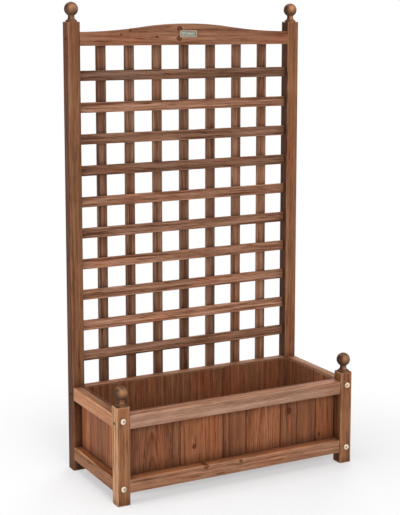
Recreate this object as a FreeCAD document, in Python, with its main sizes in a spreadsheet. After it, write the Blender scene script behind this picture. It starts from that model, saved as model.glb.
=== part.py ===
"""Planter with trellis: a wooden plant box on four posts, with a lattice between the tall rear posts.

Frame: X across the front (right is +X), Y from front to back, Z up. The origin lies on the
ground under the middle of the box. All sizes are in millimetres.
"""

import FreeCAD, Part
import math
import os

import Sketcher
from FreeCAD import Placement, Rotation, Vector

# ---------------------------------------------------------------------------------------
# Driving sizes, one spreadsheet cell each
# ---------------------------------------------------------------------------------------

SIZES = {
    # posts
    "overall_width": 712,  # over the outer faces of the posts
    "overall_depth": 330,  # from the front posts' faces to the rear posts' backs
    "post_side": 36,
    "front_post_height": 258,
    "rear_post_height": 1218,
    "post_ease": 4,  # rounding of the long edges
    "post_top_chamfer": 1,
    # turned finials
    "finial_height": 52,
    "finial_ball_diameter": 37.2,
    "finial_neck_diameter": 17.6,
    "finial_base_diameter": 31,
    "finial_base_height": 3.5,
    "finial_flare_height": 11,
    "finial_flare_radius": 9.7,
    # rails of the box
    "rail_height": 36,
    "rail_thickness": 24,  # side, rear and arched rails
    "front_rail_thickness": 32,
    "rail_recess": 2,  # behind the posts' outer faces
    "front_rail_recess": 3,
    "rail_ease": 3,
    "rail_end_ease": 1,
    "leg_height": 29.5,  # ground to the bottom rails
    "top_rail_drop": 24,  # front post top to the top rails
    # planks' sawn widths, which are trimmed alike until together they fill their wall
    "front_plank_width_1": 159,
    "front_plank_width_2": 128,
    "front_plank_width_3": 71,
    "front_plank_width_4": 107,
    "front_plank_width_5": 114,
    "front_plank_width_6": 61,
    "side_plank_width_1": 102,
    "side_plank_width_2": 100,
    "side_plank_width_3": 56,
    # boards of the box
    "plank_thickness": 10,
    "plank_margin": 2,  # plank end to the rails' outer edges
    "plank_bevel": 1.5,
    "plank_joint_gap": 0.3,
    "tongue_length": 4,
    "tongue_thickness": 3.2,
    "tongue_clearance": 0.2,
    "groove_depth": 1.5,  # sham joints of the rear board
    # arched top rail
    "arch_drop": 63,  # rear post top to the rail's lower edge
    "arch_end_height": 36.5,
    "arch_crown_height": 58.5,
    "arch_crown_half": 130,  # middle to where the crown turns into the flank
    "arch_ease": 2,
    # lattice
    "slat_width": 27.5,
    "slat_thickness": 9,
    "slat_ease": 1.2,
    "slat_end_gap": 0.25,
    "trellis_recess": 17,  # crossing slats' faces behind the rear posts' fronts
    "trellis_end_gap": 65.6,  # first and last crossing slat to the rails
    "upright_lap": 30,  # upright slats behind the arched rail
    # floor of the box
    "cleat_side": 20,
    "floor_thickness": 10,
    "floor_gap": 3,
    "floor_end_gap": 1,
    "drain_diameter": 10,
    "drain_inset": 50,
    # bolts and their nuts
    "bolt_diameter": 6,
    "bolt_clearance": 0.25,
    "bolt_head_diameter": 15,
    "bolt_head_height": 2.5,
    "bolt_head_bevel": 1,
    "bolt_socket": 4,
    "bolt_socket_depth": 1.8,
    "bolt_inset": 16,  # from the posts' outer sides
    "upper_bolt_rise": 6,  # above the top rails' middle
    "lower_bolt_drop": 3,  # below the bottom rails' middle
    "insert_diameter": 10,
    "insert_length": 14,
    # dowels
    "dowel_diameter": 8,
    "dowel_depth": 16,  # into each of the two pieces
    "dowel_spacing": 11,
    "dowel_offset": 10.5,  # from a rail's middle, away from its bolt
    "arch_dowel_spacing": 18,
    "dowel_chamfer": 0.8,
    # wood screws
    "screw_diameter": 4,
    "screw_length": 45,
    "screw_head_diameter": 7.4,
    "screw_head_height": 3,
    "screw_counterbore": 8,
    "screw_counterbore_depth": 8,
    "screw_drop": 2,  # below a rail's middle
    # brads
    "brad_diameter": 1.4,
    "brad_length": 16,
    "brad_inset": 15,  # from a floor board's corners
    # blank name plate
    "plate_width": 51,
    "plate_height": 18.5,
    "plate_thickness": 1.2,
    "plate_rim": 2,
    "plate_recess": 0.5,
    "plate_ear_width": 6,
    "plate_ear_height": 5,
    "plate_corner": 1,
    "plate_rise": 21,  # plate's lower edge above the arched rail's lower edge
    "pin_diameter": 2,
    "pin_length": 9,
    "pin_head_diameter": 3.4,
    "pin_head_height": 1,
    "pin_head_rounding": 0.8,
}

# Counts
FRONT_PLANKS = 6
SIDE_PLANKS = 3
REAR_STRIPS = 6
FLOOR_BOARDS = 3
UPRIGHTS = 7
CROSSINGS = 10


class Measure:
    """A size that knows both its number and the spreadsheet formula behind it."""

    def __init__(self, value, formula):
        self.value = float(value)
        self.formula = formula

    def joined(self, other, sign, value):
        return Measure(value, "(%s %s %s)" % (self.formula, sign, measure(other).formula))

    def __add__(self, other):
        return self.joined(other, "+", self.value + measure(other).value)

    def __sub__(self, other):
        return self.joined(other, "-", self.value - measure(other).value)

    def __mul__(self, other):
        return self.joined(other, "*", self.value * measure(other).value)

    def __truediv__(self, other):
        return self.joined(other, "/", self.value / measure(other).value)

    def __radd__(self, other):
        return measure(other) + self

    def __rsub__(self, other):
        return measure(other) - self

    def __rmul__(self, other):
        return measure(other) * self

    def __neg__(self):
        return 0 - self

    def root(self):
        return Measure(math.sqrt(self.value), "sqrt(%s)" % self.formula)


def measure(amount):
    """A plain number as a Measure; a Measure stays itself."""
    if isinstance(amount, Measure):
        return amount
    return Measure(amount, "%g" % amount)


# ---------------------------------------------------------------------------------------
# The document, its sheet, and the sizes that follow from the driving ones
# ---------------------------------------------------------------------------------------

document = FreeCAD.newDocument("PlanterWithTrellis")
sheet = document.addObject("Spreadsheet::Sheet", "Sizes")


def fill_sheet():
    """Write each driving size into its own row, then read them all back by name."""
    for row, (name, number) in enumerate(SIZES.items(), start=1):
        sheet.set("A%d" % row, name)
        sheet.set("B%d" % row, "%g" % number)
        sheet.setAlias("B%d" % row, name)
    document.recompute()
    return {name: Measure(getattr(sheet, name), "Sizes." + name) for name in SIZES}


size = fill_sheet()

post = size["post_side"]
half_width = size["overall_width"] / 2
half_depth = size["overall_depth"] / 2
span = size["overall_width"] - 2 * post  # between the posts, across
reach = size["overall_depth"] - 2 * post  # between the posts, front to rear

bottom_rail_base = size["leg_height"]
top_rail_top = size["front_post_height"] - size["top_rail_drop"]
top_rail_base = top_rail_top - size["rail_height"]
top_rail_middle = top_rail_top - size["rail_height"] / 2
bottom_rail_middle = bottom_rail_base + size["rail_height"] / 2
rail_bases = {"top": top_rail_base, "bottom": bottom_rail_base}
rail_middles = {"top": top_rail_middle, "bottom": bottom_rail_middle}

bolt_levels = {
    "top": top_rail_middle + size["upper_bolt_rise"],
    "bottom": bottom_rail_middle - size["lower_bolt_drop"],
}
dowel_levels = {
    "top": top_rail_middle - size["dowel_offset"],
    "bottom": bottom_rail_middle + size["dowel_offset"],
}
screw_level = top_rail_middle - size["screw_drop"]

plank_base = bottom_rail_base + size["plank_margin"]
plank_top = top_rail_top - size["plank_margin"]
plank_length = plank_top - plank_base
front_plank_face = size["front_rail_recess"] + size["front_rail_thickness"]
plank_face = size["rail_recess"] + size["rail_thickness"]
rear_rail_face = half_depth - post + size["rail_recess"]
rear_rail_middle = rear_rail_face + size["rail_thickness"] / 2
front_rail_middle = size["front_rail_recess"] + size["front_rail_thickness"] / 2 - half_depth

arch_base = size["rear_post_height"] - size["arch_drop"]
arch_middle = arch_base + size["arch_end_height"] / 2
plate_middle = size["plate_rise"] + size["plate_height"] / 2
pin_offset = (size["plate_width"] + size["plate_ear_width"]) / 2
trellis_face = half_depth - post + size["trellis_recess"]
upright_face = trellis_face + size["slat_thickness"]
upright_base = top_rail_base
upright_length = arch_base + size["upright_lap"] - upright_base
upright_pitch = (span - UPRIGHTS * size["slat_width"]) / (UPRIGHTS + 1) + size["slat_width"]
crossing_pitch = (
    arch_base - top_rail_top - 2 * size["trellis_end_gap"] - size["slat_width"]
) / (CROSSINGS - 1)
arch_brad_rise = size["upright_lap"] / 2

trough_front = front_plank_face + size["plank_thickness"] - half_depth
trough_rear = rear_rail_face - size["plank_thickness"]
trough_depth = trough_rear - trough_front
cleat_base = plank_base
floor_base = cleat_base + size["cleat_side"]
floor_pitch = (span + size["floor_gap"] - 2 * size["floor_end_gap"]) / FLOOR_BOARDS

brad_bite = size["brad_length"] - size["slat_thickness"]  # into the piece behind a slat
plank_brad_bite = size["brad_length"] - size["plank_thickness"]
floor_brad_bite = size["brad_length"] - size["floor_thickness"]
screw_bite = size["screw_counterbore_depth"] + size["screw_length"] - post
cleat_screw_bite = (
    size["screw_head_height"] + size["screw_length"] - size["cleat_side"] - size["plank_thickness"]
)


def upright_middle(index):
    """Middle of an upright slat, measured from the left post's inner side."""
    return upright_pitch * (index + 1) - size["slat_width"] / 2


def crossing_middle(index):
    """Height of a crossing slat's middle, counted from the lowest."""
    first = top_rail_top + size["trellis_end_gap"] + size["slat_width"] / 2
    return first + crossing_pitch * index


def plank_edges(wall, count, whole):
    """Start and end of each plank along its wall."""
    widths = [size["%s_plank_width_%d" % (wall, number + 1)] for number in range(count)]
    together = sum(widths[1:], widths[0])
    edges = [measure(0)]
    for number in range(1, count):
        sawn = sum(widths[1:number], widths[0])
        edges.append(whole * sawn / together)
    edges.append(whole)
    return list(zip(edges[:-1], edges[1:]))


strip_width = span / REAR_STRIPS
planks = {
    "front": plank_edges("front", FRONT_PLANKS, span),
    "side": plank_edges("side", SIDE_PLANKS, reach),
    "rear": [(strip_width * number, strip_width * (number + 1)) for number in range(REAR_STRIPS)],
}


def brad_places(wall):
    """A brad in the middle of each plank's width, at both rails."""
    return [(start + end) / 2 for start, end in planks[wall]]


def screwed_boards(wall):
    """The boards of a wall that hold a cleat's screw: the end ones and the middle one."""
    count = len(planks[wall])
    return (0, count // 2, count - 1)


def cleat_screw_places(wall):
    """Screws of a floor cleat: a quarter of the way across the boards that hold one."""
    edges = [planks[wall][number] for number in screwed_boards(wall)]
    return [start + (end - start) / 4 for start, end in edges]


# ---------------------------------------------------------------------------------------
# Sketches and features. A piece is drawn from its own lowest corner, along the row axes.
# ---------------------------------------------------------------------------------------

# Sketch plane square to each axis, and whether its normal runs along that axis.
PLANES = {"x": ("YZ_Plane", 1), "y": ("XZ_Plane", -1), "z": ("XY_Plane", 1)}
DIRECTIONS = {"x": Vector(1, 0, 0), "y": Vector(0, 1, 0), "z": Vector(0, 0, 1)}
nodes = []


def new_body(label, corner):
    """An empty sub-part whose own origin stands at the given place."""
    body = document.addObject("PartDesign::Body", label)
    body.Label = label
    for axis, place in zip("xyz", corner):
        body.setExpression(".Placement.Base." + axis, measure(place).formula)
    nodes.append(body)
    return body


def new_sketch(body, label, axis, level):
    role, normal = PLANES[axis]
    sketch = body.newObject("Sketcher::SketchObject", label)
    plane = [item for item in body.Origin.OriginFeatures if item.Role == role][0]
    sketch.AttachmentSupport = [(plane, "")]
    sketch.MapMode = "FlatFace"
    sketch.setExpression(".AttachmentOffset.Base.z", (normal * measure(level)).formula)
    return sketch


def constrain(sketch, *terms):
    """Add a constraint whose last term is a Measure that drives it."""
    driver = terms[-1]
    index = sketch.addConstraint(Sketcher.Constraint(*terms[:-1], driver.value))
    sketch.setExpression("Constraints[%d]" % index, driver.formula)


def fix_point(sketch, piece, end, across, up):
    """Hold a sketch point at its distances from the sketch's origin.

    The sketch's own horizontal axis is its geometry -1, whose start is the origin, and its
    vertical axis is -2.
    """
    across, up = measure(across), measure(up)
    if across.value == 0 and up.value == 0:
        sketch.addConstraint(Sketcher.Constraint("Coincident", piece, end, -1, 1))
        return
    if across.value == 0:
        sketch.addConstraint(Sketcher.Constraint("PointOnObject", piece, end, -2))
    else:
        constrain(sketch, "DistanceX", -1, 1, piece, end, across)
    if up.value == 0:
        sketch.addConstraint(Sketcher.Constraint("PointOnObject", piece, end, -1))
    else:
        constrain(sketch, "DistanceY", -1, 1, piece, end, up)


def arc_between(start, end, radius, bulge):
    """The short arc of a radius; it bulges to the left of the way from start to end, or right."""
    chord = end - start
    middle = (start + end) * 0.5
    left = Vector(-chord.y, chord.x, 0).normalize()
    depth = math.sqrt(max(radius**2 - (chord.Length / 2) ** 2, 0))
    centre = middle - left * (bulge * depth)
    top = centre + left * (bulge * radius)
    return Part.Arc(start, top, end)


def outline(sketch, corners, arcs=None):
    """A closed outline through fixed corners.

    arcs maps a corner's number to (radius, bulge) of the arc from it to the next corner.
    """
    arcs = arcs or {}
    places = [Vector(measure(a).value, measure(b).value, 0) for a, b in corners]
    ends = []
    for number, start in enumerate(places):
        end = places[(number + 1) % len(places)]
        if number in arcs:
            radius, bulge = arcs[number]
            piece = sketch.addGeometry(arc_between(start, end, radius.value, bulge))
            # a sketch arc runs anticlockwise, so one that bulges left has its ends swapped
            ends.append((piece, 2, 1) if bulge > 0 else (piece, 1, 2))
            constrain(sketch, "Radius", piece, radius)
        else:
            piece = sketch.addGeometry(Part.LineSegment(start, end))
            ends.append((piece, 1, 2))
    for number, (piece, first, last) in enumerate(ends):
        follower, follower_first, _ = ends[(number + 1) % len(ends)]
        sketch.addConstraint(
            Sketcher.Constraint("Coincident", piece, last, follower, follower_first)
        )
        fix_point(sketch, piece, first, *corners[number])


def pad(body, sketch, axis, length):
    feature = body.newObject("PartDesign::Pad", "Pad")
    feature.Profile = sketch
    feature.setExpression("Length", measure(length).formula)
    feature.Reversed = PLANES[axis][1] < 0
    document.recompute()
    return feature


def pocket(body, sketch, axis, toward, depth):
    """Cut a sketch into the piece, toward +1 or -1 along the axis. No depth cuts through."""
    feature = body.newObject("PartDesign::Pocket", "Pocket")
    feature.Profile = sketch
    if depth is None:
        feature.Type = "ThroughAll"
    else:
        feature.setExpression("Length", measure(depth).formula)
    feature.Reversed = toward * PLANES[axis][1] > 0
    return feature


def drill(body, label, axis, level, toward, centres, diameter, depth=None):
    """Round holes square to an axis, from a level, toward +1 or -1 along it."""
    sketch = new_sketch(body, label, axis, level)
    for across, up in centres:
        centre = Vector(measure(across).value, measure(up).value, 0)
        radius = diameter.value / 2
        piece = sketch.addGeometry(Part.Circle(centre, Vector(0, 0, 1), radius))
        constrain(sketch, "Diameter", piece, diameter)
        fix_point(sketch, piece, 3, across, up)
    return pocket(body, sketch, axis, toward, depth)


def block(body, axis, sides, length):
    """A straight bar along an axis; its sides are those along the sketch's two directions."""
    sketch = new_sketch(body, "Section", axis, 0)
    wide, tall = sides
    outline(sketch, [(0, 0), (wide, 0), (wide, tall), (0, tall)])
    return pad(body, sketch, axis, length)


def edge_names(shape, wanted):
    return ["Edge%d" % (i + 1) for i, edge in enumerate(shape.Edges) if wanted(edge)]


def runs_along(edge, axis):
    if not isinstance(edge.Curve, Part.Line):
        return False
    return abs(abs(edge.Curve.Direction.dot(DIRECTIONS[axis])) - 1) < 1e-6


def ease(body, base, names, radius, kind="Fillet"):
    """Round or chamfer the named edges of a feature."""
    feature = body.newObject("PartDesign::" + kind, kind)
    feature.Base = (base, names)
    feature.setExpression("Radius" if kind == "Fillet" else "Size", radius.formula)
    document.recompute()
    return feature


def ease_long_edges(body, base, axis, radius):
    return ease(body, base, edge_names(base.Shape, lambda e: runs_along(e, axis)), radius)


def ease_ends(body, base, axis, size_of_chamfer):
    """Chamfer the rim of both end faces of a bar."""
    position = {"x": "XMin XMax", "y": "YMin YMax", "z": "ZMin ZMax"}[axis].split()

    def on_end(edge):
        box, whole = edge.BoundBox, base.Shape.BoundBox
        low, high = (getattr(box, name) for name in position)
        ends = [getattr(whole, name) for name in position]
        return high - low < 1e-6 and min(abs(low - end) for end in ends) < 1e-6

    return ease(body, base, edge_names(base.Shape, on_end), size_of_chamfer, "Chamfer")


# ---------------------------------------------------------------------------------------
# Posts and finials
# ---------------------------------------------------------------------------------------

SIDES = {"left": -1, "right": 1}


def from_outer(side, distance):
    """A distance from a post's outer side, in the post's own coordinates."""
    return distance if side == "left" else post - distance


def make_post(end, side):
    front = end == "front"
    height = size[end + "_post_height"]
    corner_x = -half_width if side == "left" else half_width - post
    corner_y = -half_depth if front else half_depth - post
    body = new_body("%s_%s_post" % (end, side), (corner_x, corner_y, 0))
    stock = block(body, "z", (post, post), height)
    eased = ease_long_edges(body, stock, "z", size["post_ease"])
    top_rim = edge_names(
        eased.Shape, lambda e: e.BoundBox.ZMin > height.value - 1e-6 and e.BoundBox.ZLength < 1e-6
    )
    ease(body, eased, top_rim, size["post_top_chamfer"], "Chamfer")

    # bolts into the side rails, right through
    bolt_x = from_outer(side, size["bolt_inset"])
    bolt_hole = size["bolt_diameter"] + 2 * size["bolt_clearance"]
    bolts = [(bolt_x, level) for level in bolt_levels.values()]
    drill(body, "BoltHoles", "y", 0, 1, bolts, bolt_hole)

    # dowels of the side rails, in the face towards them
    rail_x = from_outer(side, size["rail_recess"] + size["rail_thickness"] / 2)
    side_dowels = [(rail_x, level) for level in dowel_levels.values()]
    face, inward = (post, -1) if front else (0, 1)
    drill(
        body, "SideDowelHoles", "y", face, inward, side_dowels,
        size["dowel_diameter"], size["dowel_depth"],
    )

    # dowels and screws of the rails across
    rail_y = front_rail_middle if front else rear_rail_middle
    rail_y = rail_y - corner_y
    inner, outward = (post, -1) if side == "left" else (0, 1)
    outer = 0 if side == "left" else post
    cross_dowels = pair_of_dowels(rail_y, dowel_levels["top"])
    cross_dowels += pair_of_dowels(rail_y, dowel_levels["bottom"])
    screws = [(rail_y, screw_level)]
    if not front:
        cross_dowels += arch_dowels(rail_y, arch_middle)
        screws.append((rail_y, arch_middle))
    drill(
        body, "RailDowelHoles", "x", inner, outward, cross_dowels,
        size["dowel_diameter"], size["dowel_depth"],
    )
    drill(body, "ScrewHoles", "x", outer, -outward, screws, size["screw_diameter"])
    drill(
        body, "ScrewCounterbores", "x", outer, -outward, screws,
        size["screw_counterbore"], size["screw_counterbore_depth"],
    )

    # dowel of the finial
    drill(
        body, "FinialDowelHole", "z", height, -1, [(post / 2, post / 2)],
        size["dowel_diameter"], size["dowel_depth"],
    )


def pair_of_dowels(middle, level):
    half = size["dowel_spacing"] / 2
    return [(middle - half, level), (middle + half, level)]


def arch_dowels(middle, level):
    half = size["arch_dowel_spacing"] / 2
    return [(middle, level - half), (middle, level + half)]


def make_finial(end, side):
    middle_x = SIDES[side] * (half_width - post / 2)
    middle_y = (-1 if end == "front" else 1) * (half_depth - post / 2)
    body = new_body(
        "%s_%s_finial" % (end, side), (middle_x, middle_y, size[end + "_post_height"])
    )
    base_radius = size["finial_base_diameter"] / 2
    neck_radius = size["finial_neck_diameter"] / 2
    ball_radius = size["finial_ball_diameter"] / 2
    height = size["finial_height"]
    neck_level = size["finial_base_height"] + size["finial_flare_height"]
    ball_drop = (ball_radius * ball_radius - neck_radius * neck_radius).root()
    corners = [
        (0, 0),
        (base_radius, 0),
        (base_radius, size["finial_base_height"]),
        (neck_radius, neck_level),
        (neck_radius, height - ball_radius - ball_drop),
        (0, height),
    ]
    sketch = new_sketch(body, "Profile", "y", 0)
    outline(sketch, corners, {2: (size["finial_flare_radius"], 1), 4: (ball_radius, -1)})
    turned = body.newObject("PartDesign::Revolution", "Turned")
    turned.Profile = sketch
    turned.ReferenceAxis = (sketch, ["V_Axis"])
    turned.Angle = 360
    document.recompute()
    drill(
        body, "DowelHole", "z", 0, 1, [(0, 0)], size["dowel_diameter"], size["dowel_depth"]
    )


# ---------------------------------------------------------------------------------------
# Rails
# ---------------------------------------------------------------------------------------


def make_cross_rail(end, level):
    """A rail across the front or the rear of the box."""
    front = end == "front"
    thickness = size["front_rail_thickness"] if front else size["rail_thickness"]
    corner_y = size["front_rail_recess"] - half_depth if front else rear_rail_face
    base = rail_bases[level]
    body = new_body("%s_%s_rail" % (end, level), (-half_width + post, corner_y, base))
    stock = block(body, "x", (thickness, size["rail_height"]), span)
    eased = ease_long_edges(body, stock, "x", size["rail_ease"])
    ease_ends(body, eased, "x", size["rail_end_ease"])

    dowels = pair_of_dowels(thickness / 2, dowel_levels[level] - base)
    screws = [(thickness / 2, screw_level - base)]
    for place, toward in ((0, 1), (span, -1)):
        drill(
            body, "DowelHoles", "x", place, toward, dowels,
            size["dowel_diameter"], size["dowel_depth"],
        )
        if level == "top":
            drill(
                body, "ScrewHole", "x", place, toward, screws,
                size["screw_diameter"], screw_bite,
            )

    # brads of the planks, and of the upright slats behind the rear top rail
    inner, toward = (thickness, -1) if front else (0, 1)
    middle = size["rail_height"] / 2
    brads = [(place, middle) for place in brad_places(end)]
    drill(
        body, "PlankBradHoles", "y", inner, toward, brads, size["brad_diameter"], plank_brad_bite
    )
    if level == "bottom":
        screw_height = cleat_base + size["cleat_side"] / 2 - base
        places = [(place, screw_height) for place in cleat_screw_places(end)]
        drill(
            body, "CleatScrewHoles", "y", inner, toward, places,
            size["screw_diameter"], cleat_screw_bite,
        )
    elif not front:
        slats = [(upright_middle(number), middle) for number in range(UPRIGHTS)]
        drill(
            body, "SlatBradHoles", "y", thickness, -1, slats, size["brad_diameter"], brad_bite
        )


def make_side_rail(side, level):
    """A rail from a front post to the rear post behind it."""
    thickness = size["rail_thickness"]
    left = side == "left"
    corner_x = size["rail_recess"] - half_width
    if not left:
        corner_x = half_width - size["rail_recess"] - thickness
    base = rail_bases[level]
    body = new_body("%s_%s_rail" % (side, level), (corner_x, -half_depth + post, base))
    stock = block(body, "y", (thickness, size["rail_height"]), reach)
    eased = ease_long_edges(body, stock, "y", size["rail_ease"])
    ease_ends(body, eased, "y", size["rail_end_ease"])

    bolt_x = size["bolt_inset"] - size["rail_recess"]
    if not left:
        bolt_x = thickness - bolt_x
    bolts = [(bolt_x, bolt_levels[level] - base)]
    dowels = [(thickness / 2, dowel_levels[level] - base)]
    for place, toward in ((0, 1), (reach, -1)):
        drill(
            body, "InsertHole", "y", place, toward, bolts,
            size["insert_diameter"], size["insert_length"],
        )
        drill(
            body, "DowelHole", "y", place, toward, dowels,
            size["dowel_diameter"], size["dowel_depth"],
        )
    inner, toward = (thickness, -1) if left else (0, 1)
    brads = [(place, size["rail_height"] / 2) for place in brad_places("side")]
    drill(
        body, "PlankBradHoles", "x", inner, toward, brads, size["brad_diameter"], plank_brad_bite
    )


def make_arch_rail():
    """The trellis's top rail: two concave flanks that rise to a convex crown."""
    thickness = size["rail_thickness"]
    body = new_body("trellis_arch_rail", (-half_width + post, rear_rail_face, arch_base))
    crown = size["arch_crown_half"]
    flank = span / 2 - crown
    steepness = (size["arch_crown_height"] - size["arch_end_height"]) / (span / 2)
    sweep = (1 + steepness * steepness) / (2 * steepness)
    turn_height = size["arch_crown_height"] - crown * steepness
    corners = [
        (0, 0),
        (span, 0),
        (span, size["arch_end_height"]),
        (span - flank, turn_height),
        (flank, turn_height),
        (0, size["arch_end_height"]),
    ]
    sketch = new_sketch(body, "Profile", "y", 0)
    outline(sketch, corners, {2: (flank * sweep, 1), 3: (crown * sweep, -1), 4: (flank * sweep, 1)})
    stock = pad(body, sketch, "y", thickness)

    def long_edge(edge):
        return edge.BoundBox.YLength < 1e-6 and edge.BoundBox.XLength > flank.value / 2

    ease(body, stock, edge_names(stock.Shape, long_edge), size["arch_ease"])

    level = size["arch_end_height"] / 2
    for place, toward in ((0, 1), (span, -1)):
        drill(
            body, "DowelHoles", "x", place, toward, arch_dowels(thickness / 2, level),
            size["dowel_diameter"], size["dowel_depth"],
        )
        drill(
            body, "ScrewHole", "x", place, toward, [(thickness / 2, level)],
            size["screw_diameter"], screw_bite,
        )
    slats = [(upright_middle(number), arch_brad_rise) for number in range(UPRIGHTS)]
    drill(body, "SlatBradHoles", "y", thickness, -1, slats, size["brad_diameter"], brad_bite)
    pins = [(span / 2 + offset, plate_middle) for offset in (-pin_offset, pin_offset)]
    drill(
        body, "PinHoles", "y", 0, 1, pins, size["pin_diameter"],
        size["pin_length"] - size["plate_thickness"],
    )


# ---------------------------------------------------------------------------------------
# Walls and floor of the box
# ---------------------------------------------------------------------------------------


def plank_section(width, grooved, tongued):
    """Tongue-and-groove section: across the plank, then in from its outer face."""
    thick = size["plank_thickness"]
    bevel = size["plank_bevel"]
    low = (thick - size["tongue_thickness"]) / 2
    high = (thick + size["tongue_thickness"]) / 2
    tip = width + size["tongue_length"]
    slot = size["tongue_length"] + size["tongue_clearance"]
    slack = size["tongue_clearance"]
    section = [(bevel, 0), (width - bevel, 0), (width, bevel)]
    if tongued:
        section += [(width, low), (tip, low), (tip, high), (width, high)]
    section += [(width, thick), (0, thick)]
    if grooved:
        section += [(0, high + slack), (slot, high + slack), (slot, low - slack), (0, low - slack)]
    return section + [(0, bevel)]


def make_planks(wall, corner, along, flipped):
    """The upright planks of a wall, each with its groove towards the one before it."""
    edges = planks["front" if wall == "front" else "side"]
    for number, (start, end) in enumerate(edges):
        first, last = number == 0, number == len(edges) - 1
        width = end - start
        if not last:
            width = width - size["plank_joint_gap"]
        x, y = corner
        place = (x + start, y) if along == "x" else (x, y + start)
        body = new_body("%s_plank_%d" % (wall, number + 1), place + (plank_base,))
        section = plank_section(width, not first, not last)
        if flipped:
            section = [(across, size["plank_thickness"] - inward) for across, inward in section]
        if along == "y":
            section = [(inward, across) for across, inward in section]
        sketch = new_sketch(body, "Section", "z", 0)
        outline(sketch, section)
        pad(body, sketch, "z", plank_length)
        middle = (end - start) / 2
        levels = [rail_middles[level] - plank_base for level in ("bottom", "top")]
        normal = "y" if along == "x" else "x"
        drill(
            body, "BradHoles", normal, 0, 1, [(middle, level) for level in levels],
            size["brad_diameter"],
        )
        if wall == "front" and number in screwed_boards(wall):
            screw = ((end - start) / 4, cleat_base + size["cleat_side"] / 2 - plank_base)
            drill(body, "CleatScrewHole", "y", 0, 1, [screw], size["screw_diameter"])


def make_rear_board():
    """The rear wall, glued up from strips, with a sham joint at each seam."""
    body = new_body("rear_board", (-half_width + post, trough_rear, plank_base))
    block(body, "z", (span, size["plank_thickness"]), plank_length)
    groove = new_sketch(body, "Groove", "z", 0)
    half = size["groove_depth"]
    thick = size["plank_thickness"]
    outline(
        groove,
        [(strip_width - half, thick), (strip_width, thick - half), (strip_width + half, thick)],
    )
    cut = pocket(body, groove, "z", 1, None)
    document.recompute()
    seams = body.newObject("PartDesign::LinearPattern", "Seams")
    seams.Originals = [cut]
    seams.Direction = (groove, ["H_Axis"])
    seams.setExpression("Length", (strip_width * (REAR_STRIPS - 2)).formula)
    seams.Occurrences = REAR_STRIPS - 1
    body.Tip = seams
    document.recompute()
    levels = [rail_middles[level] - plank_base for level in ("bottom", "top")]
    brads = [(place, level) for place in brad_places("rear") for level in levels]
    drill(body, "BradHoles", "y", 0, 1, brads, size["brad_diameter"])
    screw_height = cleat_base + size["cleat_side"] / 2 - plank_base
    screws = [(place, screw_height) for place in cleat_screw_places("rear")]
    drill(body, "CleatScrewHoles", "y", 0, 1, screws, size["screw_diameter"])


def floor_brad_columns():
    """The floor brads' places along a cleat."""
    columns = []
    for number in range(FLOOR_BOARDS):
        start = size["floor_end_gap"] + floor_pitch * number
        columns.append(start + size["brad_inset"])
        columns.append(start + floor_pitch - size["floor_gap"] - size["brad_inset"])
    return columns


def make_cleat(end):
    side = size["cleat_side"]
    front = end == "front"
    corner_y = trough_front if front else trough_rear - side
    body = new_body("%s_floor_cleat" % end, (-half_width + post, corner_y, cleat_base))
    block(body, "x", (side, side), span)
    face, toward = (side, -1) if front else (0, 1)
    screws = [(place, side / 2) for place in cleat_screw_places(end)]
    drill(body, "ScrewHoles", "y", face, toward, screws, size["screw_diameter"])
    drill(
        body, "ScrewRecesses", "y", face, toward, screws,
        size["screw_head_diameter"], size["screw_head_height"],
    )
    brads = [(place, side / 2) for place in floor_brad_columns()]
    drill(body, "BradHoles", "z", side, -1, brads, size["brad_diameter"], floor_brad_bite)


def make_floor_board(number):
    width = floor_pitch - size["floor_gap"]
    length = trough_depth - 2 * size["floor_end_gap"]
    corner = (
        -half_width + post + size["floor_end_gap"] + floor_pitch * number,
        trough_front + size["floor_end_gap"],
        floor_base,
    )
    body = new_body("floor_board_%d" % (number + 1), corner)
    block(body, "z", (width, length), size["floor_thickness"])
    inset = size["drain_inset"]
    drains = [(x, y) for x in (inset, width - inset) for y in (inset, length - inset)]
    drill(body, "DrainHoles", "z", 0, 1, drains, size["drain_diameter"])
    across = (size["brad_inset"], width - size["brad_inset"])
    cleat_line = size["cleat_side"] / 2 - size["floor_end_gap"]
    brads = [(x, y) for x in across for y in (cleat_line, length - cleat_line)]
    drill(body, "BradHoles", "z", 0, 1, brads, size["brad_diameter"])


# ---------------------------------------------------------------------------------------
# Lattice and name plate
# ---------------------------------------------------------------------------------------


def make_upright(number):
    wide, thick = size["slat_width"], size["slat_thickness"]
    corner_x = -half_width + post + upright_middle(number) - wide / 2
    body = new_body("trellis_upright_%d" % (number + 1), (corner_x, upright_face, upright_base))
    stock = block(body, "z", (wide, thick), upright_length)
    ease_long_edges(body, stock, "z", size["slat_ease"])
    levels = [crossing_middle(row) for row in range(CROSSINGS)]
    levels += [top_rail_middle, arch_base + arch_brad_rise]
    brads = [(wide / 2, level - upright_base) for level in levels]
    drill(body, "BradHoles", "y", 0, 1, brads, size["brad_diameter"])


def make_crossing(number):
    wide, thick = size["slat_width"], size["slat_thickness"]
    end_gap = size["slat_end_gap"]
    corner = (-half_width + post + end_gap, trellis_face, crossing_middle(number) - wide / 2)
    body = new_body("trellis_crossing_%d" % (number + 1), corner)
    stock = block(body, "x", (thick, wide), span - 2 * end_gap)
    ease_long_edges(body, stock, "x", size["slat_ease"])
    brads = [(upright_middle(column) - end_gap, wide / 2) for column in range(UPRIGHTS)]
    drill(body, "BradHoles", "y", thick, -1, brads, size["brad_diameter"], brad_bite)


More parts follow.
